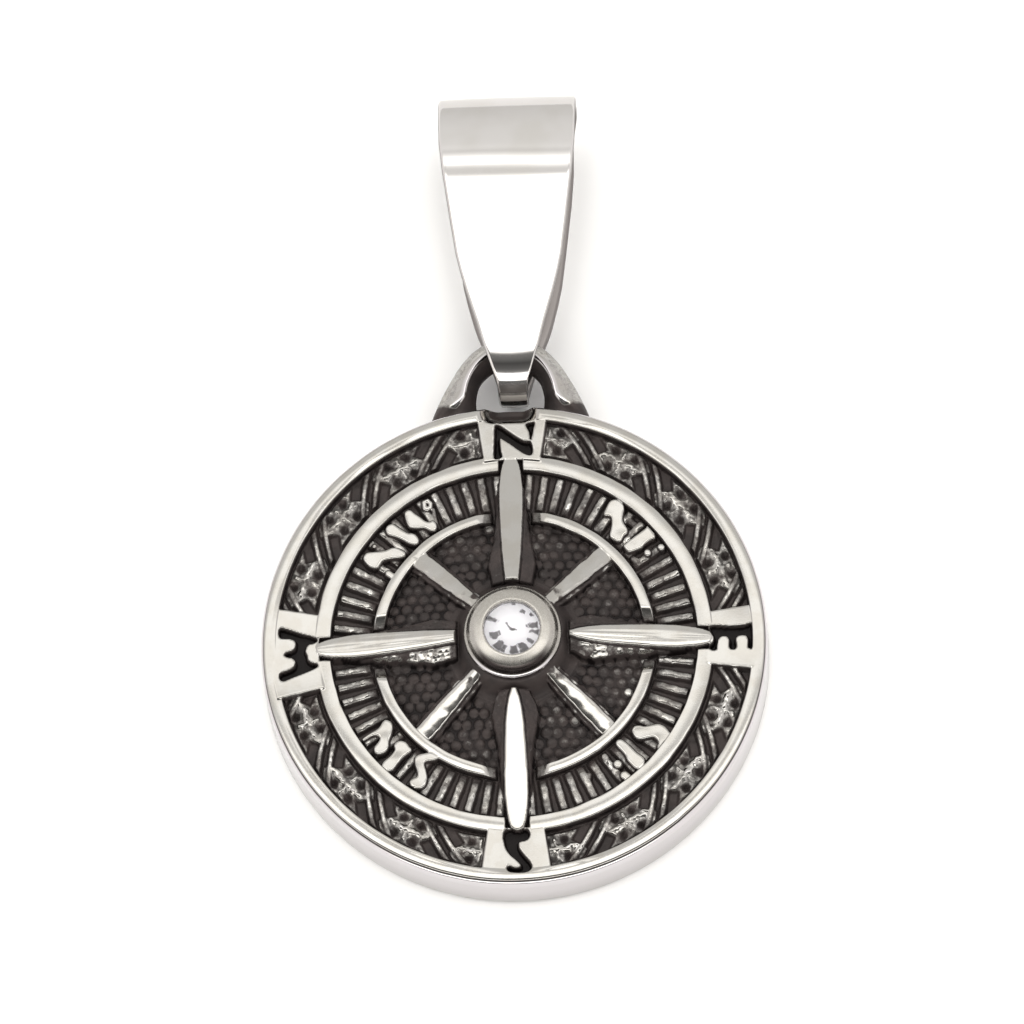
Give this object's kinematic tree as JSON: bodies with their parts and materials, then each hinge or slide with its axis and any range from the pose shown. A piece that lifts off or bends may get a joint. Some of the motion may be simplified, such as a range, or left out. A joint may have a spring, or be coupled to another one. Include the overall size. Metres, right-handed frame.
{
  "type": "compass pendant",
  "caption": "Round cast compass-rose pendant with a bezel-set clear stone, a soldered loop and a folded tapered bail for a chain.",
  "frame": {"origin": "centre of the disc on its flat back face, which is the surface that it lies on", "axes": "+Z out of the back face towards the viewer of the face, +Y towards the north letter and the bail, +X towards the east letter"},
  "size_m": [0.028, 0.0461, 0.0068],
  "materials": {
    "antiqued_steel": "cast relief, high spots polished, recesses blackened",
    "satin_steel": "satin",
    "clear_stone": "faceted and polished",
    "polished_steel": "mirror polished"
  },
  "bodies": {
    "pendant": {"medallion": "antiqued_steel", "stone_bezel": "satin_steel", "crystal": "clear_stone"},
    "bail_strap": {"bail": "polished_steel"}
  },
  "joints": [
    {"name": "bail_swing", "type": "hinge", "parent": "pendant", "child": "bail_strap", "pos_m": [0, 0.01695, 0.0026], "axis": [1, 0, 0], "range_deg": [0, 100]}
  ]
}
